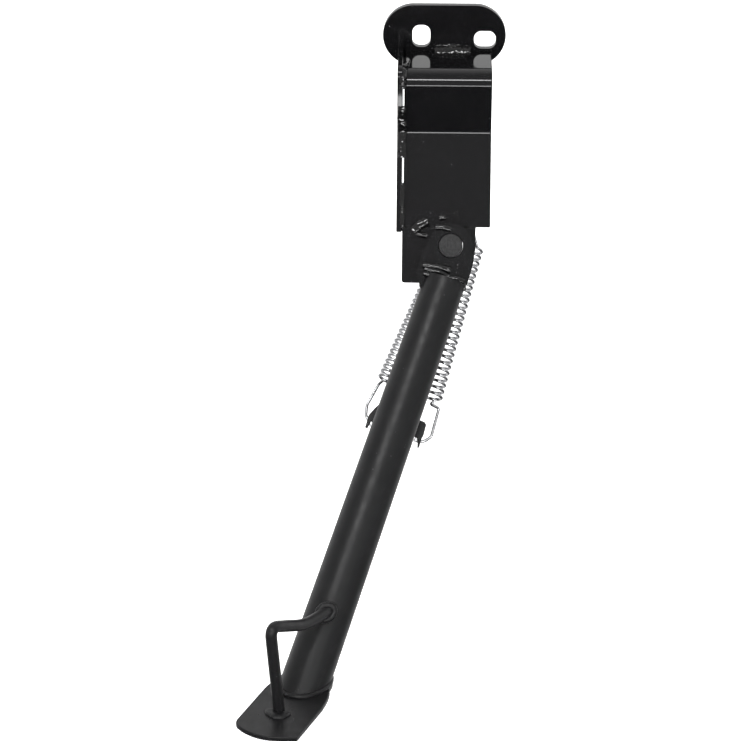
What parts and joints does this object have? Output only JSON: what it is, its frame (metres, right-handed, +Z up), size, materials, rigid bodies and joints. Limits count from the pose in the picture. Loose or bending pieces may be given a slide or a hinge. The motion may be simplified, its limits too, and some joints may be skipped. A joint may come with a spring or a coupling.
{
  "type": "side stand",
  "caption": "Scooter side stand: slotted mounting flange, folded bracket, pivoting tube leg with foot plate and kick rod, and coil return springs.",
  "frame": {"origin": "centre of the mounting flange's back face, the face that is bolted to the vehicle", "axes": "+Y into the vehicle's frame, +X towards the vehicle's rear (the side the leg folds to), +Z up"},
  "size_m": [0.1203, 0.2123, 0.2797],
  "materials": {
    "black_enamel": "black semi-gloss stoving enamel over pressed steel plate",
    "leg_enamel": "black satin stoving enamel over drawn steel tube and plate",
    "weld_enamel": "glossy black enamel pooled over rippled arc weld",
    "pin_steel": "dark oiled mild steel, peened at the front end",
    "spring_zinc": "bright zinc plated spring wire"
  },
  "bodies": {
    "bracket": {"mounting_flange": "black_enamel", "bracket_channel": "black_enamel", "side_gusset": "black_enamel", "pivot_lug": "black_enamel", "spring_anchor_rod": "black_enamel", "spring_anchor_plate": "black_enamel", "pivot_bush": "pin_steel", "weld_flange_top": "weld_enamel", "weld_flange_under": "weld_enamel", "weld_gusset_shelf": "weld_enamel", "weld_gusset_upper": "weld_enamel", "weld_gusset_middle": "weld_enamel", "weld_gusset_lower": "weld_enamel", "weld_lug_front": "weld_enamel", "weld_lug_tack": "weld_enamel", "weld_lug_rear": "weld_enamel", "weld_anchor_plate": "weld_enamel"},
    "leg": {"front_cheek": "leg_enamel", "rear_cheek": "leg_enamel", "leg_tube": "leg_enamel", "spring_hook_plate": "leg_enamel", "foot_plate": "leg_enamel", "kick_rod": "leg_enamel", "pivot_pin": "pin_steel", "pin_washer": "pin_steel", "pin_clip": "pin_steel", "weld_pin_head": "weld_enamel", "weld_cheek_front": "weld_enamel", "weld_cheek_lower": "weld_enamel", "weld_cheek_rear": "weld_enamel", "weld_hook_plate_top": "weld_enamel", "weld_hook_plate_low": "weld_enamel", "weld_rod_foot": "weld_enamel", "weld_foot": "weld_enamel", "weld_rod_tube": "weld_enamel"},
    "right_spring_body": {"right_spring": "spring_zinc"},
    "left_spring_body": {"left_spring": "spring_zinc"}
  },
  "joints": [
    {"name": "leg_pivot", "type": "hinge", "parent": "bracket", "child": "leg", "pos_m": [0.004, -0.05599, -0.08743], "axis": [0, -0.9397, 0.342], "range_deg": [0, 95]},
    {"name": "right_spring_swing", "type": "hinge", "parent": "bracket", "child": "right_spring_body", "pos_m": [0.0152, -0.034, -0.08373], "axis": [0, -0.9397, 0.342], "range_deg": [0, 91.87], "deforming": ["right_spring"]},
    {"name": "left_spring_swing", "type": "hinge", "parent": "bracket", "child": "left_spring_body", "pos_m": [0.0018, -0.034, -0.08373], "axis": [0, -0.9397, 0.342], "range_deg": [0, 85.71], "deforming": ["left_spring"]}
  ],
  "couplings": [
    {"joint": "right_spring_swing", "follows": "leg_pivot", "ratio": 0.96654},
    {"joint": "left_spring_swing", "follows": "leg_pivot", "ratio": 0.9017}
  ]
}
